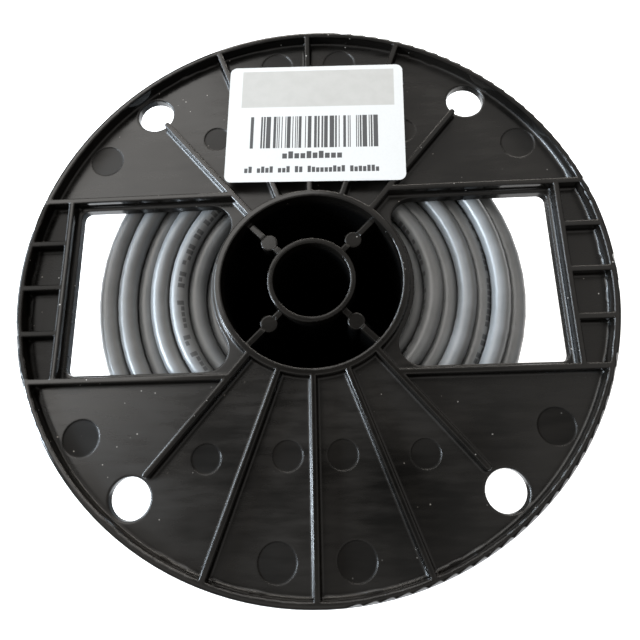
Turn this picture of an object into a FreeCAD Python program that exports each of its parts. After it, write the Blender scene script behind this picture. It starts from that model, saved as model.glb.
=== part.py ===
"""Plastic cable spool wound with network cable.

Two moulded halves plug together in the middle of the barrel: the front half carries spigots and pegs,
the rear half their sockets. A grey data cable is wound between the flanges. Its outer end is tucked
through a hole of the rear flange, and a paper label is stuck across the ribs of the front flange.

Frame: +Z along the spool's axis, origin at the middle of the rear flange's resting plane. Millimetres.
"""
import FreeCAD, Part
import math
import os

Vector = FreeCAD.Vector

# ---------------------------------------------------------------- driving dimensions
FLANGE_DIAMETER = 158.75
OVERALL_WIDTH = 103.0
PLATE_THICKNESS = 2.4
RIB_HEIGHT = 3.2            # ribs, rim and hub ring stand this far out of the plate
RIM_WIDTH = 1.9
RIB_WIDTH = 1.6
ROOT_RADIUS = 0.7           # where ribs and rings grow out of the plate
EDGE_RADIUS = 0.35          # rounded tops of ribs and rings
RIM_OUTER_RADIUS = 0.9      # rounded outer edge of the rim

BARREL_DIAMETER = 52.0
BARREL_WALL = 1.9
BARREL_FOOT_RADIUS = 1.0    # inside corner between barrel and flange
COLLAR_WIDTH = 1.4          # plate left around the hub ring at the windows

ARBOR_BORE = 20.6
ARBOR_WALL = 1.6
ARBOR_RECESS = 0.8          # arbor tube ends this far below the hub ring
WEB_THICKNESS = 1.7
WEB_RECESS = 2.2
WEB_ANGLE = 45.0
PAD_DIAMETER = 4.6          # round ejector pads standing in the webs
PAD_CIRCLE_RADIUS = 16.3
PAD_SINK = 0.25             # pad tops below the webs' edges

JOINT_LAP = 4.0             # how far the halves plug into each other
JOINT_CLEARANCE = 0.05
PEG_DIAMETER = 2.4
PEG_LENGTH = 5.0
WEB_GAP = 0.1               # each half's webs stop this far short of the joint plane

WINDOW_HALF_HEIGHT = 23.8
WINDOW_SIDE_MARGIN = 14.1   # from the flange's edge to the window, along X
WINDOW_CORNER_RADIUS = 2.2
WINDOW_HUB_RADIUS = 6.0     # window corners beside the hub ring
WINDOW_LEDGE = 1.0          # plate between a window and its ribs
SIDE_CELLS = 4              # cells between a window and the rim

HOLE_DIAMETER = 10.5
HOLE_RIM_GAP = 0.8
HOLE_EDGE_RADIUS = 0.5
HOLE_ANGLE = 50.0           # holes and diagonal ribs, from the X axis
FAN_STEP = 20.0             # angle between neighbouring radial ribs
DIAGONAL_END_GAP = 2.1      # from a diagonal rib's end to its hole

EJECTOR_DEPTH = 0.15
# (distance in from the rim, angle, radius) of the ejector-pin marks in one quarter of the flange
EJECTOR_MARKS = [(5.9, 33.8, 4.7), (24.4, 59.2, 3.7), (31.6, 81.4, 3.8), (7.1, 82.3, 4.7)]

CABLE_DIAMETER = 5.2
CABLE_LAYERS = 7
LAYER_PITCH_SHARE = 0.885   # radial step of nested layers, in cable diameters
STACKED_LAYERS = 2          # layers, the last among them, that lie straight on the one below on the -X side
LAST_LAYER_SHARE = 0.74     # how much of the traverse the last layer covers
WINDING_CLEARANCE = 0.1     # from the winding to the flanges
CROSSOVER_ANGLES = [90.0, -90.0]    # where the turns step half a pitch along and ride over each other
CROSSOVER_INSET = 4.0       # the ridge they raise is a smaller circle, set off the axis

TAIL_RUN = 14.0
TAIL_SLOPES = [0.0, 20.0, 40.0, 60.0]   # degrees below level, run by run
TAIL_END_HEIGHT = 2.4       # middle of the cut end above the resting plane
CABLE_END_LENGTH = 8.0

JACKET_BORE = 4.2
INSULATION_DIAMETER = 0.94
COPPER_DIAMETER = 0.511
RIP_CORD_DIAMETER = 0.25
PAIR_CIRCLE_RADIUS = 1.1
WIRE_CLEARANCE = 0.01
PAIR_COLOURS = ["blue", "orange", "green", "brown"]
WIRE_STICK_OUT = 0.4

LABEL_WIDTH = 50.8
LABEL_HEIGHT = 38.1
LABEL_THICKNESS = 0.15
LABEL_CORNER_RADIUS = 2.0
LABEL_HUB_GAP = 2.4         # from the hub ring to the label's lower edge
LABEL_OFFSET_X = 2.0
LABEL_TILT = -1.8

REACH = 1.0                 # how far a cutting or joining solid goes past the face it works on

# ---------------------------------------------------------------- sizes that follow from them
flange_r = FLANGE_DIAMETER / 2
rim_inner_r = flange_r - RIM_WIDTH
barrel_r = BARREL_DIAMETER / 2
barrel_inner_r = barrel_r - BARREL_WALL
arbor_r = ARBOR_BORE / 2
arbor_outer_r = arbor_r + ARBOR_WALL
half_width = OVERALL_WIDTH / 2
face = half_width - RIB_HEIGHT              # outer face of the plate, from the joint plane
back = face - PLATE_THICKNESS               # inner face of the plate
traverse = 2 * back

hole_r = HOLE_DIAMETER / 2
hole_circle_r = rim_inner_r - HOLE_RIM_GAP - hole_r
window_x = flange_r - WINDOW_SIDE_MARGIN
window_rib_x = window_x + WINDOW_LEDGE + RIB_WIDTH / 2
window_rib_y = WINDOW_HALF_HEIGHT + WINDOW_LEDGE + RIB_WIDTH / 2

layer_pitch = LAYER_PITCH_SHARE * CABLE_DIAMETER
turns_per_layer = int(traverse / CABLE_DIAMETER - 0.5)
turn_pitch = traverse / (turns_per_layer + 0.5)
last_layer_turns = int(LAST_LAYER_SHARE * turns_per_layer) + 0.5
outer_turn_r = barrel_r + CABLE_DIAMETER / 2 + (CABLE_LAYERS - 1) * layer_pitch
winding_r = outer_turn_r + CABLE_DIAMETER / 2
stacking_rise = CABLE_DIAMETER - layer_pitch    # extra height of a turn that rides on another
front_inner_z = half_width + back
rear_inner_z = half_width - back
tail_start_z = front_inner_z - CABLE_DIAMETER / 2 - last_layer_turns * turn_pitch


# ---------------------------------------------------------------- drawing helpers
def corner_arc(start, centre, end):
    """Quarter-like arc from start to end about centre, all as (a, b) pairs in the drawing plane."""
    radius = math.hypot(start[0] - centre[0], start[1] - centre[1])
    middle = ((start[0] + end[0]) / 2 - centre[0], (start[1] + end[1]) / 2 - centre[1])
    scale = radius / math.hypot(*middle)
    return (centre[0] + middle[0] * scale, centre[1] + middle[1] * scale)


def closed_face(steps, to_vector):
    """Face from steps: ("line", point) or ("arc", centre, point). The first step is ("start", point)."""
    start = steps[0][1]
    here = start
    edges = []
    for step in steps[1:] + [("line", start)]:
        target = step[-1]
        if math.hypot(target[0] - here[0], target[1] - here[1]) < 1e-9:
            continue
        if step[0] == "line":
            edges.append(Part.LineSegment(to_vector(here), to_vector(target)).toShape())
        else:
            middle = corner_arc(here, step[1], target)
            edges.append(Part.Arc(to_vector(here), to_vector(middle), to_vector(target)).toShape())
        here = target
    return Part.Face(Part.Wire(edges))


def revolved(steps):
    """Solid of revolution about Z from an outline of (radius, height) points."""
    profile = closed_face(steps, lambda p: Vector(p[0], 0, p[1]))
    return profile.revolve(Vector(0, 0, 0), Vector(0, 0, 1), 360)


def disc(radius, z_low, z_high, x=0.0, y=0.0):
    return Part.makeCylinder(radius, z_high - z_low, Vector(x, y, z_low))


def polar(radius, angle):
    return (radius * math.cos(math.radians(angle)), radius * math.sin(math.radians(angle)))


def turned(shape, angle):
    copy = shape.copy()
    copy.rotate(Vector(0, 0, 0), Vector(0, 0, 1), angle)
    return copy


def four_ways(x, y):
    """The same point in all four quarters of the flange."""
    return [(sx * x, sy * y) for sx in (1, -1) for sy in (1, -1)]


# ---------------------------------------------------------------- ribs
def rib_side(half, sink):
    """Right half of a rib's cross-section, from its middle, as outline steps of (across, height)."""
    foot = half + ROOT_RADIUS
    return [
        ("start", (0.0, face - sink)),
        ("line", (foot, face - sink)),
        ("line", (foot, face)),
        ("arc", (foot, face + ROOT_RADIUS), (half, face + ROOT_RADIUS)),
        ("line", (half, half_width - EDGE_RADIUS)),
        ("arc", (half - EDGE_RADIUS, half_width - EDGE_RADIUS), (half - EDGE_RADIUS, half_width)),
        ("line", (0.0, half_width)),
    ]


def rib(x_start, x_end, y=0.0, angle=0.0):
    """Straight rib along X from x_start to x_end at height y, turned about the axis by angle."""
    sink = PLATE_THICKNESS / 2
    right = closed_face(rib_side(RIB_WIDTH / 2, sink), lambda p: Vector(x_start, y + p[0], p[1]))
    left = closed_face(rib_side(RIB_WIDTH / 2, sink), lambda p: Vector(x_start, y - p[0], p[1]))
    along = Vector(x_end - x_start, 0, 0)
    solid = right.extrude(along).fuse(left.extrude(along)).removeSplitter()
    return turned(solid, angle)


def upright_rib(x, y_start, y_end):
    """Rib parallel to Y."""
    solid = rib(y_start, y_end)
    solid.rotate(Vector(0, 0, 0), Vector(0, 0, 1), 90)
    solid.translate(Vector(x, 0, 0))
    return solid


def rib_end(radius, angle):
    """Rounded end of a rib that stops in the open plate."""
    x, y = polar(radius, angle)
    knob = revolved(rib_side(RIB_WIDTH / 2, PLATE_THICKNESS / 2))
    knob.translate(Vector(x, y, 0))
    return knob


def radial_ribs():
    """Fans of ribs above and below the hub, and the diagonal ribs that stop at the holes."""
    start = barrel_r - BARREL_WALL / 2
    rim_middle = flange_r - RIM_WIDTH / 2
    diagonal_end = hole_circle_r - hole_r - DIAGONAL_END_GAP
    ribs = []
    for side in (90, 270):
        for step in (-1, 0, 1):
            ribs.append(rib(start, rim_middle, angle=side + step * FAN_STEP))
    for x, y in four_ways(1, 1):
        angle = math.degrees(math.atan2(y * math.sin(math.radians(HOLE_ANGLE)),
                                        x * math.cos(math.radians(HOLE_ANGLE))))
        ribs.append(rib(start, diagonal_end, angle=angle))
        ribs.append(rib_end(diagonal_end, angle))
    return ribs


def window_ribs():
    """Ribs that frame the windows, and the short ones between a window and the rim."""
    ribs = []
    inner_x = window_rib_y / math.tan(math.radians(HOLE_ANGLE))
    cell = 2 * window_rib_y / SIDE_CELLS
    for side in (0, 180):
        for y in (-window_rib_y, window_rib_y):
            ribs.append(rib(inner_x, math.sqrt((flange_r - RIM_WIDTH / 2) ** 2 - y ** 2), y, side))
        for step in range(1, SIDE_CELLS):
            y = -window_rib_y + step * cell
            ribs.append(rib(window_rib_x, math.sqrt((flange_r - RIM_WIDTH / 2) ** 2 - y ** 2), y, side))
    for x in (-window_rib_x, window_rib_x):
        ribs.append(upright_rib(x, -window_rib_y, window_rib_y))
    return ribs


# ---------------------------------------------------------------- flange
def joint_steps(outer, inner, plug_side, has_spigot):
    """Outline steps across a tube wall at the joint plane, from its outer to its inner radius.

    plug_side says which half of the wall the spigot is: "inner" or "outer".
    """
    middle = (outer + inner) / 2
    slack = JOINT_CLEARANCE
    if has_spigot and plug_side == "inner":
        return [("line", (outer, 0)), ("line", (middle, 0)), ("line", (middle, -JOINT_LAP)),
                ("line", (inner, -JOINT_LAP))]
    if has_spigot:
        return [("line", (outer, 0)), ("line", (outer, -JOINT_LAP)), ("line", (middle, -JOINT_LAP)),
                ("line", (middle, 0)), ("line", (inner, 0))]
    deep = JOINT_LAP + slack
    if plug_side == "inner":
        return [("line", (outer, 0)), ("line", (middle + slack, 0)), ("line", (middle + slack, deep)),
                ("line", (inner, deep))]
    return [("line", (outer, deep)), ("line", (middle - slack, deep)), ("line", (middle - slack, 0)),
            ("line", (inner, 0))]


def flange_and_barrel(has_spigot):
    """Disc with rim, hub ring and half the barrel, revolved from one outline."""
    edge = EDGE_RADIUS
    top = half_width
    steps = [
        ("start", (barrel_inner_r, top - edge)),
        ("arc", (barrel_inner_r + edge, top - edge), (barrel_inner_r + edge, top)),
        ("line", (barrel_r - edge, top)),
        ("arc", (barrel_r - edge, top - edge), (barrel_r, top - edge)),
        ("line", (barrel_r, face + ROOT_RADIUS)),
        ("arc", (barrel_r + ROOT_RADIUS, face + ROOT_RADIUS), (barrel_r + ROOT_RADIUS, face)),
        ("line", (rim_inner_r - ROOT_RADIUS, face)),
        ("arc", (rim_inner_r - ROOT_RADIUS, face + ROOT_RADIUS), (rim_inner_r, face + ROOT_RADIUS)),
        ("line", (rim_inner_r, top - edge)),
        ("arc", (rim_inner_r + edge, top - edge), (rim_inner_r + edge, top)),
        ("line", (flange_r - RIM_OUTER_RADIUS, top)),
        ("arc", (flange_r - RIM_OUTER_RADIUS, top - RIM_OUTER_RADIUS), (flange_r, top - RIM_OUTER_RADIUS)),
        ("line", (flange_r, back + edge)),
        ("arc", (flange_r - edge, back + edge), (flange_r - edge, back)),
        ("line", (barrel_r + BARREL_FOOT_RADIUS, back)),
        ("arc", (barrel_r + BARREL_FOOT_RADIUS, back - BARREL_FOOT_RADIUS),
         (barrel_r, back - BARREL_FOOT_RADIUS)),
    ]
    return revolved(steps + joint_steps(barrel_r, barrel_inner_r, "inner", has_spigot))


def window_cutter():
    """Window on the +X side: straight edges, and an inner end that follows the hub ring."""
    collar_r = barrel_r + COLLAR_WIDTH
    small = WINDOW_CORNER_RADIUS
    big = WINDOW_HUB_RADIUS
    height = WINDOW_HALF_HEIGHT
    centre_y = height - big
    centre_x = math.sqrt((collar_r + big) ** 2 - centre_y ** 2)
    touch = collar_r / (collar_r + big)
    touch_x, touch_y = centre_x * touch, centre_y * touch
    steps = [
        ("start", (touch_x, -touch_y)),
        ("arc", (centre_x, -centre_y), (centre_x, -height)),
        ("line", (window_x - small, -height)),
        ("arc", (window_x - small, -height + small), (window_x, -height + small)),
        ("line", (window_x, height - small)),
        ("arc", (window_x - small, height - small), (window_x - small, height)),
        ("line", (centre_x, height)),
        ("arc", (centre_x, centre_y), (touch_x, touch_y)),
        ("arc", (0.0, 0.0), (touch_x, -touch_y)),
    ]
    outline = closed_face(steps, lambda p: Vector(p[0], p[1], back - REACH))
    return outline.extrude(Vector(0, 0, PLATE_THICKNESS + RIB_HEIGHT + 2 * REACH))


def hole_cutter(x, y):
    """Round hole whose outer edge is rounded."""
    wide = hole_r + HOLE_EDGE_RADIUS
    tool = revolved([
        ("start", (0.0, back - REACH)),
        ("line", (hole_r, back - REACH)),
        ("line", (hole_r, face - HOLE_EDGE_RADIUS)),
        ("arc", (wide, face - HOLE_EDGE_RADIUS), (wide, face)),
        ("line", (wide, half_width)),
        ("line", (0.0, half_width)),
    ])
    tool.translate(Vector(x, y, 0))
    return tool


def flange_cutters():
    cutters = [window_cutter(), turned(window_cutter(), 180)]
    for x, y in four_ways(*polar(hole_circle_r, HOLE_ANGLE)):
        cutters.append(hole_cutter(x, y))
    for inset, angle, mark_r in EJECTOR_MARKS:
        for x, y in four_ways(*polar(rim_inner_r - inset, angle)):
            cutters.append(disc(mark_r, face - EJECTOR_DEPTH, face + EDGE_RADIUS, x, y))
    return cutters


# ---------------------------------------------------------------- hub
def arbor_tube(has_spigot):
    top = half_width - ARBOR_RECESS
    edge = EDGE_RADIUS
    steps = [
        ("start", (arbor_r, top - edge)),
        ("arc", (arbor_r + edge, top - edge), (arbor_r + edge, top)),
        ("line", (arbor_outer_r - edge, top)),
        ("arc", (arbor_outer_r - edge, top - edge), (arbor_outer_r, top - edge)),
    ]
    return revolved(steps + joint_steps(arbor_outer_r, arbor_r, "outer", has_spigot))


def hub_webs(has_spigot):
    """Four webs between the arbor tube and the barrel, stopping short of both tubes' laps at the joint."""
    low = WEB_GAP if has_spigot else JOINT_LAP + WEB_GAP
    top = half_width - WEB_RECESS
    overlap = min(ARBOR_WALL, BARREL_WALL) / 4
    inner = arbor_outer_r - overlap
    outer = barrel_inner_r + overlap
    webs = []
    for step in range(4):
        web = Part.makeBox(outer - inner, WEB_THICKNESS, top - low, Vector(inner, -WEB_THICKNESS / 2, low))
        webs.append(turned(web, WEB_ANGLE + 90 * step))
    return webs


def pad_places():
    return [polar(PAD_CIRCLE_RADIUS, WEB_ANGLE + 90 * step) for step in range(4)]


def pad_columns(low, high):
    return [disc(PAD_DIAMETER / 2, low, high, x, y) for x, y in pad_places()]


def pegs():
    return [disc(PEG_DIAMETER / 2, -PEG_LENGTH, REACH, x, y) for x, y in pad_places()]


def peg_sockets():
    radius = PEG_DIAMETER / 2 + JOINT_CLEARANCE
    return [disc(radius, -REACH, PEG_LENGTH + JOINT_CLEARANCE, x, y) for x, y in pad_places()]


# ---------------------------------------------------------------- the two halves
def moulded_half(has_spigot):
    """One half spool, its joint plane at height 0 and its flange at the top."""
    half = flange_and_barrel(has_spigot)
    half = half.multiFuse(radial_ribs() + window_ribs())
    half = half.cut(Part.Compound(flange_cutters()))
    half = half.multiFuse([arbor_tube(has_spigot)] + hub_webs(has_spigot))
    pad_top = half_width - WEB_RECESS - PAD_SINK
    half = half.cut(Part.Compound(pad_columns(pad_top, half_width)))
    half = half.multiFuse(pad_columns(0, pad_top))
    if has_spigot:
        half = half.multiFuse(pegs())
    else:
        half = half.cut(Part.Compound(peg_sockets()))
    return half.removeSplitter()


def front_half():
    half = moulded_half(True)
    half.translate(Vector(0, 0, half_width))
    return half


def rear_half():
    half = moulded_half(False)
    half.rotate(Vector(0, 0, 0), Vector(1, 0, 0), 180)
    half.translate(Vector(0, 0, half_width))
    return half


# ---------------------------------------------------------------- cable
def wound_ring(layers, stacked, low, high):
    """Outer shape of some layers of cable: fuller on the -X side, with a ridge at each crossover."""
    radius = winding_r - (CABLE_LAYERS - layers) * layer_pitch
    fuller = stacked * stacking_rise / 2
    ring = disc(radius + fuller, low, high, -fuller)
    rise = (layers - 1) * stacking_rise
    for angle in CROSSOVER_ANGLES:
        ring = ring.fuse(disc(radius - CROSSOVER_INSET, low, high, *polar(rise + CROSSOVER_INSET, angle)))
    return ring


def winding():
    """The wound cable as one solid, a layer thinner past the last layer's end, around the barrel."""
    low = rear_inner_z + WINDING_CLEARANCE
    high = front_inner_z - WINDING_CLEARANCE
    step_z = tail_start_z - CABLE_DIAMETER / 2
    thick = wound_ring(CABLE_LAYERS, STACKED_LAYERS, step_z, high)
    thin = wound_ring(CABLE_LAYERS - 1, STACKED_LAYERS - 1, low, step_z)
    core = revolved([
        ("start", (0.0, low - REACH)),
        ("line", (barrel_r + BARREL_FOOT_RADIUS, low - REACH)),
        ("line", (barrel_r + BARREL_FOOT_RADIUS, rear_inner_z)),
        ("arc", (barrel_r + BARREL_FOOT_RADIUS, rear_inner_z + BARREL_FOOT_RADIUS),
         (barrel_r, rear_inner_z + BARREL_FOOT_RADIUS)),
        ("line", (barrel_r, front_inner_z - BARREL_FOOT_RADIUS)),
        ("arc", (barrel_r + BARREL_FOOT_RADIUS, front_inner_z - BARREL_FOOT_RADIUS),
         (barrel_r + BARREL_FOOT_RADIUS, front_inner_z)),
        ("line", (barrel_r + BARREL_FOOT_RADIUS, high + REACH)),
        ("line", (0.0, high + REACH)),
    ])
    return thick.fuse(thin).cut(core).removeSplitter()


def tail_points():
    """Route of the cable's outer end, from the last turn through a hole of the rear flange.

    It leaves the winding along a tangent that meets the hole's axis, and dips a little more on every run.
    """
    leave_angle = HOLE_ANGLE - math.degrees(math.acos(outer_turn_r / hole_circle_r))
    across = math.sqrt(hole_circle_r ** 2 - outer_turn_r ** 2)
    slopes = [math.radians(slope) for slope in TAIL_SLOPES]
    middle = [(TAIL_RUN * math.cos(slope), -TAIL_RUN * math.sin(slope)) for slope in slopes[1:-1]]
    last_drop = tail_start_z + sum(step[1] for step in middle) - TAIL_END_HEIGHT
    last = (last_drop / math.tan(slopes[-1]), -last_drop)
    plate_middle = rear_inner_z - PLATE_THICKNESS / 2
    past_hole = (plate_middle - TAIL_END_HEIGHT) / math.tan(slopes[-1])
    first = (across + past_hole - sum(step[0] for step in middle) - last[0], 0.0)
    foot_x, foot_y = polar(outer_turn_r, leave_angle)
    way_x, way_y = polar(1.0, leave_angle + 90)
    points = [Vector(foot_x, foot_y, tail_start_z)]
    along, height = 0.0, tail_start_z
    for step in [first] + middle + [last]:
        along += step[0]
        height += step[1]
        points.append(Vector(foot_x + way_x * along, foot_y + way_y * along, height))
    return points


def rounded_route(points, cut_back):
    """Wire of straight runs joined by tangent arcs, each as large as its two runs allow.

    It stops short of the last point by cut_back.
    """
    edges = []
    here = points[0]
    for before, corner, after in zip(points, points[1:], points[2:]):
        into = (corner - before).normalize()
        out = (after - corner).normalize()
        trim = 0.45 * min(before.distanceToPoint(corner), corner.distanceToPoint(after))
        half_turn = into.getAngle(out) / 2
        radius = trim / math.tan(half_turn)
        print("tail arc radius %.1f mm" % radius)
        arc_start = corner - into * trim
        arc_end = corner + out * trim
        inward = (out - into).normalize()
        middle = corner + inward * (radius / math.cos(half_turn) - radius)
        edges.append(Part.LineSegment(here, arc_start).toShape())
        edges.append(Part.Arc(arc_start, middle, arc_end).toShape())
        here = arc_end
    end = points[-1] - (points[-1] - points[-2]).normalize() * cut_back
    edges.append(Part.LineSegment(here, end).toShape())
    return Part.Wire(edges)


def tail(wound):
    """Solid tube from the winding to where the cable end begins."""
    points = tail_points()
    route = rounded_route(points, CABLE_END_LENGTH)
    start = (points[1] - points[0]).normalize()
    section = Part.Wire(Part.makeCircle(CABLE_DIAMETER / 2, points[0], start))
    tube = route.makePipeShell([section], True, False)
    expected = math.pi * CABLE_DIAMETER ** 2 / 4 * route.Length
    print("tail tube volume %.1f of %.1f mm3" % (tube.Volume, expected))
    return tube.cut(wound)


def end_frame():
    """Where the cable end starts, and the directions along it and across it."""
    points = tail_points()
    axis = (points[-1] - points[-2]).normalize()
    start = points[-1] - axis * CABLE_END_LENGTH
    side = axis.cross(Vector(0, 0, 1)).normalize()
    return start, axis, side, axis.cross(side)


def rod(radius, a=0.0, b=0.0, stick_out=0.0):
    """Round rod along the cable end, a and b away from its middle."""
    start, axis, side, up = end_frame()
    return Part.makeCylinder(radius, CABLE_END_LENGTH + stick_out, start + side * a + up * b, axis)


def cable_end_jacket():
    """The jacket's cut end, hollow where the wires come out."""
    return rod(CABLE_DIAMETER / 2).cut(rod(JACKET_BORE / 2))


def wires():
    """Eight insulated copper wires in pairs, and the rip cord, as they stand at the cut end."""
    pieces = {}
    half_gap = INSULATION_DIAMETER / 2 + WIRE_CLEARANCE
    for index, colour in enumerate(PAIR_COLOURS):
        a, b = polar(PAIR_CIRCLE_RADIUS, 90 * index)
        pair_a, pair_b = polar(half_gap, 90 * index + 90 * (index % 2))
        for name, sign in ((colour, 1), ("white_" + colour, -1)):
            place = (a + sign * pair_a, b + sign * pair_b)
            copper = rod(COPPER_DIAMETER / 2, *place, stick_out=WIRE_STICK_OUT)
            sleeve = rod(INSULATION_DIAMETER / 2, *place, stick_out=WIRE_STICK_OUT)
            pieces["insulation_" + name] = sleeve.cut(copper)
            pieces["copper_" + name] = copper
    pieces["rip_cord"] = rod(RIP_CORD_DIAMETER / 2, stick_out=WIRE_STICK_OUT * 2)
    return pieces


# ---------------------------------------------------------------- label
def label():
    """Paper label with rounded corners, flat across the front ribs."""
    half_w = LABEL_WIDTH / 2
    half_h = LABEL_HEIGHT / 2
    round_r = LABEL_CORNER_RADIUS
    steps = [("start", (-half_w + round_r, -half_h))]
    for sx, sy in ((1, -1), (1, 1), (-1, 1), (-1, -1)):
        centre = (sx * (half_w - round_r), sy * (half_h - round_r))
        on_x = (centre[0] + sx * round_r, centre[1])
        on_y = (centre[0], centre[1] + sy * round_r)
        first, second = (on_y, on_x) if sx == -sy else (on_x, on_y)
        steps += [("line", first), ("arc", centre, second)]
    outline = closed_face(steps, lambda p: Vector(p[0], p[1], 0))
    sheet = outline.extrude(Vector(0, 0, LABEL_THICKNESS))
    sheet.rotate(Vector(0, 0, 0), Vector(0, 0, 1), LABEL_TILT)
    centre_y = barrel_r + LABEL_HUB_GAP + half_h
    sheet.translate(Vector(LABEL_OFFSET_X, centre_y, OVERALL_WIDTH))
    return sheet


# ---------------------------------------------------------------- all pieces
def main():
    os.makedirs("parts", exist_ok=True)
    wound = winding()
    pieces = {
        "front_half": front_half(),
        "rear_half": rear_half(),
        "cable_winding": wound,
        "cable_tail": tail(wound),
        "cable_end_jacket": cable_end_jacket(),
        "label": label(),
    }
    pieces.update(wires())
    for name, shape in pieces.items():
        solids = shape.Solids
        print("%-26s %d solid(s) %10.1f mm3 valid %s" % (name, len(solids), shape.Volume, shape.isValid()))
        shape.exportStep("parts/%s.step" % name)


main()
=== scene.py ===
"""Black moulded spool of grey network cable, seen from above on a white surface.

The two half spools, the label and the cut cable end are the CAD's own solids with procedural
materials. The cable is drawn turn by turn here: one curve from the barrel to the cut end, with a
tube swept along it.
"""
import bpy
import math
import random
from mathutils import Euler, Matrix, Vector


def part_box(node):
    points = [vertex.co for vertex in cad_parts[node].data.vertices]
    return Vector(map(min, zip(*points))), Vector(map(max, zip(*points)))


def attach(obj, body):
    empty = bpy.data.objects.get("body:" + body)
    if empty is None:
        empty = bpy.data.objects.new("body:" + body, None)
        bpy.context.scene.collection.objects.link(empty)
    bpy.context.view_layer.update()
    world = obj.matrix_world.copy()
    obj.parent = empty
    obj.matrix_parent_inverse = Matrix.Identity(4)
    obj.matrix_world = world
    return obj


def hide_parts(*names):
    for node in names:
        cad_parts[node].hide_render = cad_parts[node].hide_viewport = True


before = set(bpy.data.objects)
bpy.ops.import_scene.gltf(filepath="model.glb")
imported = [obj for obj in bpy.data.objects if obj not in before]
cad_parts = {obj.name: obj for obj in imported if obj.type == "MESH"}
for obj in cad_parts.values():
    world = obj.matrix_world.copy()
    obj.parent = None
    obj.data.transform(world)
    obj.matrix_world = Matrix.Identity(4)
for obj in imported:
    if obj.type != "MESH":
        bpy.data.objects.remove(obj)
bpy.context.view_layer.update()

MM = 0.001

# ---------------------------------------------------------------- places in the frame
FRONT_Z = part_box("front_half")[1].z
FLANGE_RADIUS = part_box("front_half")[1].x
WINDING_LOW, WINDING_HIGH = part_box("cable_winding")
LABEL_LOW, LABEL_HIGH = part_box("label")

# ---------------------------------------------------------------- cable
CABLE_DIAMETER = 5.2 * MM
BARREL_RADIUS = 26.0 * MM
NESTED_STEP = 4.602 * MM            # between layers where turns lie in the grooves of the layer below
WINDING_CLEARANCE = 0.1 * MM
TURNS_PER_LAYER = 17
LAST_LAYER_TURNS = 12.5
POINTS_PER_TURN = 12
# How far each layer stands off the front flange on either side, in turn pitches. Two neighbours
# with the same value lie straight on each other, all others nest.
LEFT_OFFSETS = [0.0, 0.5, 0.0, 0.0, 0.5, 0.0, 0.0]
RIGHT_OFFSETS = [0.5, 0.0, 0.5, 0.0, 0.5, 0.0, 0.5]
SECTOR_START = 60.0                 # degrees past either side where the turns begin to cross over
SECTOR_WIDTH = 60.0
CROSSOVER_PEAK = 0.84               # share of a lone raised control point that the curve reaches
TURN_UNEVENNESS = 0.07 * MM
UNEVENNESS_SEED = 4
START_ANGLE = 285.0                 # the inner end lies hidden under the first crossover

TAIL_RUN = 14.0 * MM                # each straight run of the free end but the last
TAIL_SLOPES = [20.0, 40.0, 60.0]    # degrees down from level
TAIL_END_HEIGHT = 2.4 * MM
CABLE_END_LENGTH = 8.0 * MM         # the cut end, which is a CAD solid
HOLE_ANGLE = 50.0
HOLE_CIRCLE_RADIUS = 71.425 * MM
REAR_PLATE_MIDDLE = 4.4 * MM

TUBE_SIDES = 12
ROUTE_RESOLUTION = 5                # points of the drawn curve to one control point


def polar(radius, angle):
    """x and y of a point at this angle, in degrees."""
    return radius * math.cos(math.radians(angle)), radius * math.sin(math.radians(angle))


def side_radii(offsets):
    """Radius of every layer's turns on one side of the barrel."""
    radii = [BARREL_RADIUS + CABLE_DIAMETER / 2]
    for below, here in zip(offsets, offsets[1:]):
        radii.append(radii[-1] + (CABLE_DIAMETER if below == here else NESTED_STEP))
    return radii


LEFT_RADII = side_radii(LEFT_OFFSETS)
RIGHT_RADII = side_radii(RIGHT_OFFSETS)
OUTER_TURN_RADIUS = RIGHT_RADII[-1]
FRONT_TURN_Z = WINDING_HIGH.z + WINDING_CLEARANCE - CABLE_DIAMETER / 2
TRAVERSE = WINDING_HIGH.z - WINDING_LOW.z + 2 * WINDING_CLEARANCE
TURN_PITCH = TRAVERSE / (TURNS_PER_LAYER + 0.5)
LEAVE_ANGLE = HOLE_ANGLE - math.degrees(math.acos(OUTER_TURN_RADIUS / HOLE_CIRCLE_RADIUS))


def half_turn_place(index):
    """Layer, radius and height of one pass beside the barrel: left if the index is even, else right."""
    layer, step = divmod(index, 2 * TURNS_PER_LAYER)
    on_left = step % 2 == 0
    turn = step // 2
    if layer % 2:
        turn = TURNS_PER_LAYER - 1 - turn
    offset = (LEFT_OFFSETS if on_left else RIGHT_OFFSETS)[layer]
    radius = (LEFT_RADII if on_left else RIGHT_RADII)[layer]
    return layer, radius, FRONT_TURN_Z - (turn + offset) * TURN_PITCH


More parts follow.
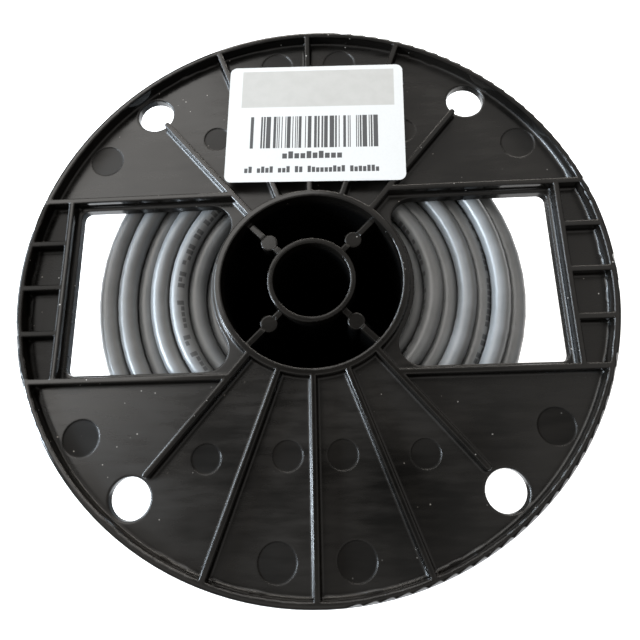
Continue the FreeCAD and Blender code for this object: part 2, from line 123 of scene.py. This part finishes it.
def winding_points():
    """Control points of the wound turns, from the barrel outwards.

    The polygon stands outside the turns by 1 / cos(half a step), so that the curve has their radius.
    """
    rng = random.Random(UNEVENNESS_SEED)
    step = 360.0 / POINTS_PER_TURN
    outside = 1.0 / math.cos(math.radians(step / 2))
    last = 2 * TURNS_PER_LAYER * (len(RIGHT_OFFSETS) - 1) + 2 * LAST_LAYER_TURNS
    end_angle = 180.0 + 180.0 * last + LEAVE_ANGLE - step / 2
    count = int((end_angle - START_ANGLE) / step)
    points = []
    for number in range(count + 1):
        angle = end_angle - (count - number) * step
        index, share = divmod((angle - 180.0) / 180.0, 1.0)
        layer, radius, height = half_turn_place(int(index))
        next_layer, next_radius, next_height = half_turn_place(int(index) + 1)
        across = min(max((share * 180.0 - SECTOR_START) / SECTOR_WIDTH, 0.0), 1.0)
        blend = across * across * (3 - 2 * across)
        raised = BARREL_RADIUS + CABLE_DIAMETER * (max(layer, next_layer) + 0.5)
        flat = radius + (next_radius - radius) * blend
        bump = (raised - flat) * math.sin(math.pi * across) ** 2 / CROSSOVER_PEAK
        uneven = rng.uniform(-1, 1) * TURN_UNEVENNESS if layer < len(RIGHT_OFFSETS) - 1 else 0.0
        x, y = polar((flat + bump + min(uneven, 0.0)) * outside, angle)
        points.append(Vector((x, y, height + (next_height - height) * blend)))
    return points


def tail_points():
    """Control points of the free end: along a tangent, dipping run by run into a flange hole."""
    last = 2 * TURNS_PER_LAYER * (len(RIGHT_OFFSETS) - 1) + int(2 * LAST_LAYER_TURNS)
    start_z = half_turn_place(last)[2]
    across = math.sqrt(HOLE_CIRCLE_RADIUS ** 2 - OUTER_TURN_RADIUS ** 2)
    slopes = [math.radians(slope) for slope in TAIL_SLOPES]
    runs = [(TAIL_RUN * math.cos(slope), -TAIL_RUN * math.sin(slope)) for slope in slopes[:-1]]
    last_drop = start_z + sum(run[1] for run in runs) - TAIL_END_HEIGHT
    runs.append((last_drop / math.tan(slopes[-1]), -last_drop))
    past_hole = (REAR_PLATE_MIDDLE - TAIL_END_HEIGHT) / math.tan(slopes[-1])
    foot_x, foot_y = polar(OUTER_TURN_RADIUS, LEAVE_ANGLE)
    way_x, way_y = polar(1.0, LEAVE_ANGLE + 90.0)
    along = across + past_hole - sum(run[0] for run in runs)
    height = start_z
    points = [Vector((foot_x + way_x * along, foot_y + way_y * along, height))]
    for run in runs:
        along += run[0]
        height += run[1]
        points.append(Vector((foot_x + way_x * along, foot_y + way_y * along, height)))
    points[-1] -= (points[-1] - points[-2]).normalized() * CABLE_END_LENGTH
    return points


def centreline(points):
    """Points of the smooth curve that has these control points."""
    curve = bpy.data.curves.new("cable_route", "CURVE")
    curve.dimensions = "3D"
    spline = curve.splines.new("NURBS")
    spline.points.add(len(points) - 1)
    for target, point in zip(spline.points, points):
        target.co = (*point, 1.0)
    spline.order_u = 3
    spline.use_endpoint_u = True
    spline.resolution_u = ROUTE_RESOLUTION
    holder = bpy.data.objects.new("cable_route", curve)
    mesh = bpy.data.meshes.new_from_object(holder)
    route = [vertex.co.copy() for vertex in mesh.vertices]
    bpy.data.meshes.remove(mesh)
    bpy.data.objects.remove(holder)
    bpy.data.curves.remove(curve)
    return route


def swept_tube(name, route, radius, sides):
    """Tube along a route, with UVs of metres along it and the share of the way around it."""
    vertices = []
    distances = []
    travelled = 0.0
    direction = (route[1] - route[0]).normalized()
    normal = direction.orthogonal().normalized()
    for number, point in enumerate(route):
        before = route[max(number - 1, 0)]
        after = route[min(number + 1, len(route) - 1)]
        new_direction = (after - before).normalized()
        normal.rotate(direction.rotation_difference(new_direction))
        normal = (normal - new_direction * normal.dot(new_direction)).normalized()
        direction = new_direction
        side = direction.cross(normal)
        for corner in range(sides):
            angle = 2 * math.pi * corner / sides
            vertices.append(point + (normal * math.cos(angle) + side * math.sin(angle)) * radius)
        travelled += (point - before).length
        distances.append(travelled)
    faces = []
    for ring in range(len(route) - 1):
        for corner in range(sides):
            beside = (corner + 1) % sides
            low = ring * sides
            faces.append((low + corner, low + beside, low + sides + beside, low + sides + corner))
    faces.append(tuple(reversed(range(sides))))
    faces.append(tuple(range(len(vertices) - sides, len(vertices))))
    mesh = bpy.data.meshes.new(name)
    mesh.from_pydata(vertices, [], faces)
    layer = mesh.uv_layers.new(name="along")
    for face in mesh.polygons:
        face.use_smooth = len(face.vertices) == 4
        for loop_index, vertex_index in zip(face.loop_indices, face.vertices):
            ring, corner = divmod(vertex_index, sides)
            around = corner / sides
            on_seam = sides - 1 in [vertex % sides for vertex in face.vertices]
            if len(face.vertices) == 4 and corner == 0 and on_seam:
                around = 1.0
            layer.data[loop_index].uv = (distances[ring], around)
    piece = bpy.data.objects.new(name, mesh)
    bpy.context.scene.collection.objects.link(piece)
    return piece


def cable():
    """The whole cable as one piece, in place of the CAD's winding and tail."""
    points = winding_points() + tail_points()
    route = centreline(points)
    piece = swept_tube("cable_turns", route, CABLE_DIAMETER / 2, TUBE_SIDES)
    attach(piece, "root")
    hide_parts("cable_winding", "cable_tail")
    return piece


# ---------------------------------------------------------------- shader helpers
BEVEL_SAMPLES = 6


class Shader:
    """A material whose nodes are added by short calls."""

    def __init__(self, name):
        self.material = bpy.data.materials.new(name)
        self.material.use_nodes = True
        self.tree = self.material.node_tree
        self.surface = self.tree.nodes["Principled BSDF"]
        self.place = self.add("ShaderNodeTexCoord").outputs["Object"]

    def add(self, kind, **values):
        node = self.tree.nodes.new(kind)
        for key, value in values.items():
            setattr(node, key, value)
        return node

    def put(self, socket, value):
        """Links a socket, or sets a plain number, colour or vector."""
        if isinstance(value, bpy.types.NodeSocket):
            self.tree.links.new(value, socket)
        else:
            socket.default_value = value

    def math(self, operation, *values):
        node = self.add("ShaderNodeMath", operation=operation)
        for socket, value in zip(node.inputs, values):
            self.put(socket, value)
        return node.outputs[0]

    def mapped(self, source, location=(0, 0, 0), rotation=(0, 0, 0), scale=(1, 1, 1), kind="POINT"):
        node = self.add("ShaderNodeMapping", vector_type=kind)
        self.put(node.inputs["Vector"], source)
        node.inputs["Location"].default_value = location
        node.inputs["Rotation"].default_value = rotation
        node.inputs["Scale"].default_value = scale
        return node.outputs[0]

    def split(self, source):
        node = self.add("ShaderNodeSeparateXYZ")
        self.put(node.inputs[0], source)
        return node.outputs[0], node.outputs[1], node.outputs[2]

    def join(self, x, y, z):
        node = self.add("ShaderNodeCombineXYZ")
        for socket, value in zip(node.inputs, (x, y, z)):
            self.put(socket, value)
        return node.outputs[0]

    def noise(self, source, scale, detail=2.0, roughness=0.5):
        node = self.add("ShaderNodeTexNoise")
        self.put(node.inputs["Vector"], source)
        node.inputs["Scale"].default_value = scale
        node.inputs["Detail"].default_value = detail
        node.inputs["Roughness"].default_value = roughness
        return node.outputs["Fac"]

    def random(self, source):
        """Random number from 0 to 1 for each point given."""
        node = self.add("ShaderNodeTexWhiteNoise", noise_dimensions="3D")
        self.put(node.inputs["Vector"], source)
        return node.outputs["Value"]

    def ramp(self, value, low, high, to_low=0.0, to_high=1.0):
        """Straight ramp from to_low to to_high while value goes from low to high."""
        node = self.add("ShaderNodeMapRange")
        for socket, number in zip(node.inputs, (value, low, high, to_low, to_high)):
            self.put(socket, number)
        return node.outputs[0]

    def within(self, value, low, high):
        """1 between two values, 0 elsewhere."""
        above = self.math("GREATER_THAN", value, low)
        return self.math("MULTIPLY", above, self.math("LESS_THAN", value, high))

    def distance(self, x, y):
        """Distance from the middle, across the axes x and y."""
        squares = self.math("ADD", self.math("POWER", x, 2.0), self.math("POWER", y, 2.0))
        return self.math("SQRT", squares)

    def less(self, value, mask, amount):
        """A value, lowered by an amount where the mask is 1."""
        return self.math("SUBTRACT", value, self.math("MULTIPLY", mask, amount))

    def blend(self, share, first, second):
        """Colour between two others."""
        node = self.add("ShaderNodeMix", data_type="RGBA")
        self.put(node.inputs["Factor"], share)
        colours = [socket for socket in node.inputs if socket.type == "RGBA"]
        self.put(colours[0], first)
        self.put(colours[1], second)
        return [socket for socket in node.outputs if socket.type == "RGBA"][0]

    def rounded_edges(self, radius):
        """Normal that makes sharp edges look rounded, as moulded ones are."""
        node = self.add("ShaderNodeBevel", samples=BEVEL_SAMPLES)
        self.put(node.inputs["Radius"], radius)
        return node.outputs[0]

    def bump(self, height, depth, normal=None):
        """Bump whose height of 0 to 1 stands for this depth in metres."""
        node = self.add("ShaderNodeBump")
        self.put(node.inputs["Height"], height)
        node.inputs["Distance"].default_value = depth
        if normal:
            self.put(node.inputs["Normal"], normal)
        self.put(self.surface.inputs["Normal"], node.outputs[0])

    def set(self, **values):
        for name, value in values.items():
            self.put(self.surface.inputs[name.replace("_", " ")], value)
        return self.material


def colour(red, green, blue):
    return (red, green, blue, 1.0)


def paint(piece, material):
    """Gives a piece one material, without changing its mesh if it is a CAD solid."""
    if piece.material_slots:
        for slot in piece.material_slots:
            slot.link = "OBJECT"
            slot.material = material
    else:
        piece.data.materials.append(material)


# ---------------------------------------------------------------- black plastic
# Sizes in millimetres. Each ejector-pin mark of one quarter of the flange is given as its distance
# in from the rim, its angle and its radius.
EJECTOR_MARKS = [(5.9, 33.8, 4.7), (24.4, 59.2, 3.7), (31.6, 81.4, 3.8), (7.1, 82.3, 4.7)]
MARK_EDGE = 0.15                # half the width over which a mark's edge fades
RIM_WIDTH = 1.9
BARREL_INSIDE = 24.15
PLATE_DEPTH = 3.2
CELL_X = 67.1                   # the small cells lie between a window and the rim
CELL_Y = 24.8

GLOSS = 0.5
# Painted shade inside the barrel: reflection taken away deep down it, and a little all along it.
DEEP_BARREL_PAINTED_SHADE = 0.49
BARREL_INSIDE_PAINTED_SHADE = 0.15
MARK_DULLNESS = (0.34, 0.16)    # below and above the barrel
# Painted shade: reflection taken away on the cells left of the windows, none on the right.
CELL_PAINTED_SHADE = (0.36, 0.0)     # left and right of the windows
LEAST_GLOSS = 0.01
RIB_ROUGHNESS = 0.4             # of the plates' roughness
FLOW_HEIGHT = 0.12              # of the depth of an ejector mark
MARK_DEPTH = 0.00007            # metres
EDGE_RADIUS = 0.0007            # metres
RIM_EDGE = 0.8                  # the rim stays sharp in this outermost ring
DUST_CELLS = 560.0              # places for a speck in a metre
DUST_LEFT_OUT = 0.86            # share of them that stay empty


def ejector_marks(shader, x, y):
    """1 on the ejector marks of all four quarters; x and y in millimetres."""
    across = shader.math("ABSOLUTE", x)
    up = shader.math("ABSOLUTE", y)
    rim = FLANGE_RADIUS / MM - RIM_WIDTH
    total = 0.0
    for inset, angle, radius in EJECTOR_MARKS:
        mark_x, mark_y = polar(rim - inset, angle)
        off_x = shader.math("SUBTRACT", across, mark_x)
        off_y = shader.math("SUBTRACT", up, mark_y)
        reach = shader.distance(off_x, off_y)
        mark = shader.ramp(reach, radius - MARK_EDGE, radius + MARK_EDGE, 1.0, 0.0)
        total = shader.math("ADD", total, mark)
    return total


def dust(shader):
    """Sparse pale specks, in drifts."""
    cells = shader.add("ShaderNodeTexVoronoi", feature="F1")
    shader.put(cells.inputs["Vector"], shader.place)
    cells.inputs["Scale"].default_value = DUST_CELLS
    speck = shader.ramp(cells.outputs["Distance"], 0.05, 0.14, 1.0, 0.0)
    chosen = shader.math("GREATER_THAN", shader.random(cells.outputs["Position"]), DUST_LEFT_OUT)
    drift = shader.ramp(shader.noise(shader.place, 26.0, 3.0), 0.42, 0.55)
    return shader.math("MULTIPLY", shader.math("MULTIPLY", speck, chosen), drift)


def flow_haze(shader):
    """Cloudy haze with fine streaks, as the plastic flowed into its mould."""
    cloud = shader.noise(shader.place, 34.0, 3.0, 0.5)
    streak = shader.noise(shader.mapped(shader.place, scale=(0.18, 1.0, 1.0)), 420.0, 3.0, 0.6)
    return shader.math("ADD", shader.math("MULTIPLY", cloud, 0.65), shader.math("MULTIPLY", streak, 0.35))


def black_plastic():
    """Glossy black plastic with haze, duller ejector marks and dust; painted shade down the inside of the
    barrel (dark and dull) and on the cells left of the windows.
    """
    shader = Shader("black_plastic")
    x, y, z = shader.split(shader.mapped(shader.place, scale=(1 / MM, 1 / MM, 1 / MM)))
    flow = flow_haze(shader)
    marks = ejector_marks(shader, x, y)
    radius = shader.distance(x, y)
    # Painted shade inside the barrel: these masks darken it, more with depth from either end.
    inside = shader.ramp(radius, BARREL_INSIDE, BARREL_INSIDE + 0.1, 1.0, 0.0)
    middle = FRONT_Z / MM / 2
    off_middle = shader.math("ABSOLUTE", shader.math("SUBTRACT", z, middle))
    from_end = shader.math("SUBTRACT", middle, off_middle)
    barrel_painted_shade = shader.math("MULTIPLY", inside, shader.ramp(from_end, 2.4, 5.5))
    specks = shader.math("MULTIPLY", dust(shader), shader.math("SUBTRACT", 1.0, barrel_painted_shade))
    raised = shader.ramp(from_end, PLATE_DEPTH - 0.5, PLATE_DEPTH - 0.1, 1.0, 0.0)
    # Mask of the small cells beside the windows; painted shade takes reflection off the left ones.
    cells = shader.math("MULTIPLY", shader.math("GREATER_THAN", shader.math("ABSOLUTE", x), CELL_X),
                        shader.math("LESS_THAN", shader.math("ABSOLUTE", y), CELL_Y))

    rough = shader.ramp(flow, 0.38, 0.62, 0.2, 0.36)
    rough = shader.math("MULTIPLY", rough, shader.ramp(raised, 0.0, 1.0, 1.0, RIB_ROUGHNESS))
    rough = shader.math("ADD", rough, shader.math("MULTIPLY", marks, 0.16))
    rough = shader.math("MAXIMUM", rough, shader.math("MULTIPLY", specks, 0.8))

    # Painted shade: reflection lowered deep down the barrel.
    shine = shader.less(GLOSS, barrel_painted_shade, DEEP_BARREL_PAINTED_SHADE)
    shine = shader.less(shine, marks, shader.ramp(y, -12.0, 12.0, *MARK_DULLNESS))
    # Painted shade: reflection lowered on the cells left of the windows.
    shine = shader.less(shine, cells, shader.ramp(x, -1.0, 1.0, *CELL_PAINTED_SHADE))
    # Painted shade: reflection lowered all along the inside of the barrel.
    shine = shader.less(shine, inside, BARREL_INSIDE_PAINTED_SHADE)
    shine = shader.math("MAXIMUM", shine, LEAST_GLOSS)

    haze = shader.ramp(flow, 0.38, 0.62)
    body = shader.blend(haze, colour(0.003, 0.0028, 0.0025), colour(0.008, 0.007, 0.006))
    # Painted shade: near black deep down the barrel.
    body = shader.blend(barrel_painted_shade, body, colour(0.002, 0.002, 0.002))
    body = shader.blend(shader.math("MULTIPLY", specks, 0.9), body, colour(0.55, 0.52, 0.48))

    haze_height = shader.math("MULTIPLY", flow, shader.ramp(raised, 0.0, 1.0, FLOW_HEIGHT, 0.0))
    height = shader.math("SUBTRACT", haze_height, marks)
    sharp_from = FLANGE_RADIUS / MM - RIM_EDGE
    rounding = shader.ramp(radius, sharp_from - 0.1, sharp_from, EDGE_RADIUS, 0.0)
    shader.bump(height, MARK_DEPTH, shader.rounded_edges(rounding))
    return shader.set(Base_Color=body, Roughness=rough, Specular_IOR_Level=shine)


# ---------------------------------------------------------------- cable
PRINT_HEIGHT = 0.12             # share of the way around the cable
PRINT_STEP = 1.75 * MM          # from one printed block to the next
PRINT_TWIST = -1.15             # turns about itself that the cable makes in a metre
PRINT_PHASE = 0.5965            # share of the way around where the print starts
PRINT_LINE = 0.7524             # metres of cable to one printed line and the gap after it
PRINT_LINE_SHARE = 0.42         # of that length that carries print
PRINT_LINE_PHASE = 0.6085
PRINT_STRENGTH = 0.7
BLOCK_WIDTH = 0.74              # of the step from one block to the next
BLOCKS_LEFT_OUT = 0.22          # share of half blocks
SPACES = 0.16                   # share of whole blocks left out, as between words


def ink(shader, along, around):
    """Rows of small printed blocks along the cable, in groups, in place of lettering."""
    spin = shader.math("ADD", around, shader.math("MULTIPLY", along, PRINT_TWIST))
    across = shader.math("FRACT", shader.math("ADD", spin, PRINT_PHASE))
    row = shader.math("DIVIDE", across, PRINT_HEIGHT)
    place = shader.math("DIVIDE", along, PRINT_STEP)
    block = shader.math("FLOOR", place)
    inside = shader.math("FRACT", place)
    half = shader.math("FLOOR", shader.math("MULTIPLY", row, 2.0))
    dots = shader.math("GREATER_THAN", shader.random(shader.join(block, 4.0, half)), BLOCKS_LEFT_OUT)
    gap = shader.math("LESS_THAN", inside, BLOCK_WIDTH)
    space = shader.math("GREATER_THAN", shader.random(shader.join(block, 7.0, 3.0)), SPACES)
    line = shader.math("ADD", shader.math("DIVIDE", along, PRINT_LINE), PRINT_LINE_PHASE)
    group = shader.math("LESS_THAN", shader.math("FRACT", line), PRINT_LINE_SHARE)
    printed = shader.within(row, 0.0, 1.0)
    for factor in (dots, gap, space, group):
        printed = shader.math("MULTIPLY", printed, factor)
    return printed


def grey_jacket(name, with_print):
    """Grey PVC: nearly smooth and faintly cloudy."""
    shader = Shader(name)
    cloud = shader.noise(shader.place, 160.0, 3.0)
    grain = shader.noise(shader.place, 2600.0, 2.0)
    shade = shader.ramp(cloud, 0.35, 0.65)
    body = shader.blend(shade, colour(0.146, 0.152, 0.155), colour(0.176, 0.182, 0.186))
    if with_print:
        uv = shader.add("ShaderNodeUVMap", uv_map="along").outputs[0]
        along, around = shader.split(uv)[:2]
        printed = shader.math("MULTIPLY", ink(shader, along, around), PRINT_STRENGTH)
        body = shader.blend(printed, body, colour(0.012, 0.012, 0.014))
    rough = shader.ramp(cloud, 0.3, 0.7, 0.31, 0.38)
    shader.bump(grain, 0.00002)
    return shader.set(Base_Color=body, Roughness=rough, Specular_IOR_Level=0.62)


def wire_insulation(name, main, stripe):
    """Thin glossy insulation, with bands of the pair's colour on the white wires."""
    shader = Shader(name)
    bands = shader.noise(shader.place, 700.0, 1.0)
    tint = shader.noise(shader.place, 2400.0, 2.0)
    body = shader.blend(shader.ramp(bands, 0.5, 0.54), main, stripe)
    shader.bump(tint, 0.00001)
    return shader.set(Base_Color=body, Roughness=shader.ramp(tint, 0.3, 0.7, 0.25, 0.4))


def copper():
    shader = Shader("copper")
    drawn = shader.noise(shader.place, 3000.0, 3.0)
    body = shader.blend(drawn, colour(0.72, 0.3, 0.15), colour(0.9, 0.48, 0.28))
    rough = shader.ramp(drawn, 0.3, 0.7, 0.2, 0.4)
    shader.bump(drawn, 0.00001)
    return shader.set(Base_Color=body, Metallic=1.0, Roughness=rough)


def rip_cord():
    shader = Shader("rip_cord")
    fibre = shader.noise(shader.mapped(shader.place, scale=(1, 1, 0.2)), 6000.0, 3.0)
    body = shader.blend(fibre, colour(0.5, 0.47, 0.4), colour(0.85, 0.82, 0.76))
    shader.bump(fibre, 0.00003)
    return shader.set(Base_Color=body, Roughness=0.8)


WIRE_COLOURS = {
    "blue": colour(0.015, 0.07, 0.42),
    "orange": colour(0.72, 0.19, 0.02),
    "green": colour(0.015, 0.26, 0.05),
    "brown": colour(0.17, 0.07, 0.03),
}
WIRE_WHITE = colour(0.78, 0.78, 0.76)


# ---------------------------------------------------------------- label
LABEL_TILT = -1.8               # degrees
# (left, right, bottom, top) of each printed field, from the label's middle, in millimetres
GREY_FIELD = (-21.6, 22.8, 5.2, 17.6)
BAR_FIELD = (-18.6, 18.5, -8.4, 2.0)
SHORT_ROW = (-9.2, 7.9, -11.8, -9.5)
LONG_ROW = (-19.8, 18.0, -16.2, -14.2)
BAR_MODULE = 0.26
GLYPH_WIDTH = 0.93              # of a block that stands for a character, without its gap
GLYPH_PITCH = 1.28              # from one block to the next, in block widths
SHORT_ROW_GLYPH = 1.45          # in the long row's block widths
LONG_ROW_SPACES = 0.14          # share of the blocks that are left out


def field(shader, x, y, edges):
    """1 inside a rectangle."""
    left, right, bottom, top = edges
    return shader.math("MULTIPLY", shader.within(x, left, right), shader.within(y, bottom, top))


def bars(shader, x, y):
    """Upright bars of one to four modules, from a random pattern."""
    module = shader.math("FLOOR", shader.math("DIVIDE", x, BAR_MODULE))
    dark = shader.math("GREATER_THAN", shader.random(shader.join(module, 1.0, 5.0)), 0.5)
    return shader.math("MULTIPLY", dark, field(shader, x, y, BAR_FIELD))


def greeked_row(shader, x, y, edges, glyph, spaces):
    """Row of small random blocks that stands for a line of print."""
    left, bottom, top = edges[0], edges[2], edges[3]
    pitch = glyph * GLYPH_PITCH
    place = shader.math("DIVIDE", shader.math("SUBTRACT", x, left), pitch)
    number = shader.math("FLOOR", place)
    inside = shader.math("DIVIDE", shader.math("FRACT", place), glyph / pitch)
    height = shader.math("DIVIDE", shader.math("SUBTRACT", y, bottom), top - bottom)
    block_top = shader.ramp(shader.random(shader.join(number, 4.0, 1.0)), 0.4, 0.6, 0.72, 1.0)
    dots = shader.math("LESS_THAN", height, block_top)
    shown = shader.math("GREATER_THAN", shader.random(shader.join(number, 2.0, 9.0)), spaces)
    printed = field(shader, x, y, edges)
    for factor in (dots, shown, shader.math("LESS_THAN", inside, 1.0)):
        printed = shader.math("MULTIPLY", printed, factor)
    return printed


def label_paper():
    """White paper with a pale grey field, bars and two rows of blocks in place of lettering."""
    shader = Shader("label_paper")
    middle = (LABEL_LOW + LABEL_HIGH) / 2
    local = shader.mapped(shader.place, location=(middle.x, middle.y, middle.z),
                          rotation=(0, 0, math.radians(LABEL_TILT)), scale=(MM, MM, MM), kind="TEXTURE")
    x, y = shader.split(local)[:2]
    fibres = shader.noise(shader.place, 1500.0, 4.0)
    cockle = shader.noise(shader.place, 30.0, 2.0)
    paper = shader.blend(fibres, colour(0.6, 0.6, 0.59), colour(0.65, 0.65, 0.64))
    worn = shader.ramp(shader.noise(shader.place, 300.0, 4.0), 0.35, 0.6)
    grey = shader.blend(worn, colour(0.44, 0.43, 0.408), colour(0.46, 0.45, 0.428))
    short_row = greeked_row(shader, x, y, SHORT_ROW, GLYPH_WIDTH * SHORT_ROW_GLYPH, 0.0)
    long_row = greeked_row(shader, x, y, LONG_ROW, GLYPH_WIDTH, LONG_ROW_SPACES)
    printed = shader.math("ADD", shader.math("ADD", bars(shader, x, y), short_row), long_row)
    body = shader.blend(field(shader, x, y, GREY_FIELD), paper, grey)
    body = shader.blend(shader.math("MULTIPLY", printed, 0.93), body, colour(0.02, 0.02, 0.022))
    height = shader.math("ADD", shader.math("MULTIPLY", fibres, 0.05), cockle)
    shader.bump(height, 0.0004)
    return shader.set(Base_Color=body, Roughness=0.55, Specular_IOR_Level=0.35)


# ---------------------------------------------------------------- camera, light and floor
CAMERA_TILT = Euler((math.radians(15.654), math.radians(2.688), math.radians(-1.251)))
CAMERA_PLACE = Vector((0.095, -0.620, 1.681))   # from the middle of the front rim, in flange radii
CAMERA_LENS = 30.27
CAMERA_SENSOR = 36.0
CAMERA_CLIP = 0.01
FLOOR_HALF_SIZE = 3.0
FLOOR_GLOW = 0.9
FLOOR_COLOUR = colour(0.85, 0.85, 0.85)
SHADE_EDGE = 2 * MM             # from the dark floor under the barrel to the glowing floor
DARK_SIDE = Vector((0.0, 0.06, 1.0))
ROOM_STRENGTH = 0.65
# Colour of the room by the cosine of the angle from its dark side.
ROOM_SHADES = [
    (0.35, (0.16, 0.15, 0.14, 1)),
    (0.62, (0.75, 0.72, 0.69, 1)),
    (0.86, (1.0, 0.965, 0.92, 1)),
    (0.94, (0.76, 0.73, 0.69, 1)),
    (0.99, (0.04, 0.038, 0.035, 1)),
]


def camera():
    data = bpy.data.cameras.new("camera")
    data.sensor_width = CAMERA_SENSOR
    data.lens = CAMERA_LENS
    data.clip_start = CAMERA_CLIP
    item = bpy.data.objects.new("camera", data)
    item.rotation_euler = CAMERA_TILT
    item.location = Vector((0, 0, FRONT_Z)) + CAMERA_PLACE * FLANGE_RADIUS
    bpy.context.scene.collection.objects.link(item)
    bpy.context.scene.camera = item
    bpy.context.scene.view_settings.view_transform = "Standard"


def floor():
    """Plain pale surface that glows, so that it stays white around the spool.

    Under the barrel it has only the light that falls down the barrel.
    """
    half = FLOOR_HALF_SIZE
    corners = [(-half, -half, 0), (half, -half, 0), (half, half, 0), (-half, half, 0)]
    mesh = bpy.data.meshes.new("floor")
    mesh.from_pydata(corners, [], [(0, 1, 2, 3)])
    item = bpy.data.objects.new("floor", mesh)
    bpy.context.scene.collection.objects.link(item)
    shader = Shader("white_floor")
    x, y = shader.split(shader.place)[:2]
    open_air = shader.ramp(shader.distance(x, y), BARREL_RADIUS, BARREL_RADIUS + SHADE_EDGE)
    glow = shader.math("MULTIPLY", open_air, FLOOR_GLOW)
    mesh.materials.append(shader.set(Base_Color=FLOOR_COLOUR, Roughness=0.7,
                                     Emission_Color=colour(1, 1, 1), Emission_Strength=glow))


def area_light(name, place, size, power, tint):
    """Rectangular soft light aimed at the front flange."""
    data = bpy.data.lights.new(name, "AREA")
    data.shape = "RECTANGLE"
    data.size, data.size_y = size
    data.energy = power
    data.color = tint
    item = bpy.data.objects.new(name, data)
    item.location = place
    aim = Vector((0, 0, FRONT_Z)) - Vector(place)
    item.rotation_euler = aim.to_track_quat("-Z", "Y").to_euler()
    bpy.context.scene.collection.objects.link(item)


def room():
    """Room light: dark overhead and pale all round."""
    world = bpy.data.worlds.new("room")
    world.use_nodes = True
    tree = world.node_tree
    direction = tree.nodes.new("ShaderNodeTexCoord").outputs["Generated"]
    shadow = tree.nodes.new("ShaderNodeVectorMath")
    shadow.operation = "DOT_PRODUCT"
    tree.links.new(direction, shadow.inputs[0])
    shadow.inputs[1].default_value = DARK_SIDE.normalized()
    ramp = tree.nodes.new("ShaderNodeValToRGB")
    tree.links.new(shadow.outputs["Value"], ramp.inputs[0])
    stops = ramp.color_ramp.elements
    for stop, (position, shade) in zip(stops, (ROOM_SHADES[0], ROOM_SHADES[-1])):
        stop.position = position
        stop.color = shade
    for position, shade in ROOM_SHADES[1:-1]:
        stops.new(position).color = shade
    background = tree.nodes["Background"]
    tree.links.new(ramp.outputs[0], background.inputs["Color"])
    background.inputs["Strength"].default_value = ROOM_STRENGTH
    bpy.context.scene.world = world


def lights():
    room()
    area_light("window_left", (-0.95, 0.12, 0.50), (0.8, 0.35), 17.0, (0.76, 0.88, 1.0))
    area_light("window_left_end", (-0.92, -0.12, 0.48), (0.2, 0.3), 8.0, (0.80, 0.90, 1.0))
    area_light("ceiling_back_left", (-0.62, 0.52, 1.02), (1.1, 0.9), 7.5, (1.0, 0.975, 0.94))
    area_light("wall_back", (0.15, 0.95, 0.45), (0.9, 0.2), 5.0, (1.0, 0.94, 0.86))


def main():
    camera()
    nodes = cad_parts
    paint(cable(), grey_jacket("grey_jacket_printed", True))
    paint(nodes["cable_end_jacket"], grey_jacket("grey_jacket_end", False))
    black = black_plastic()
    for name in ("front_half", "rear_half"):
        paint(nodes[name], black)
    paint(nodes["label"], label_paper())
    paint(nodes["rip_cord"], rip_cord())
    bare = copper()
    for name, tone in WIRE_COLOURS.items():
        for wire, main_tone in ((name, tone), ("white_" + name, WIRE_WHITE)):
            paint(nodes["insulation_" + wire], wire_insulation("insulation_" + wire, main_tone, tone))
            paint(nodes["copper_" + wire], bare)
    lights()
    floor()


main()
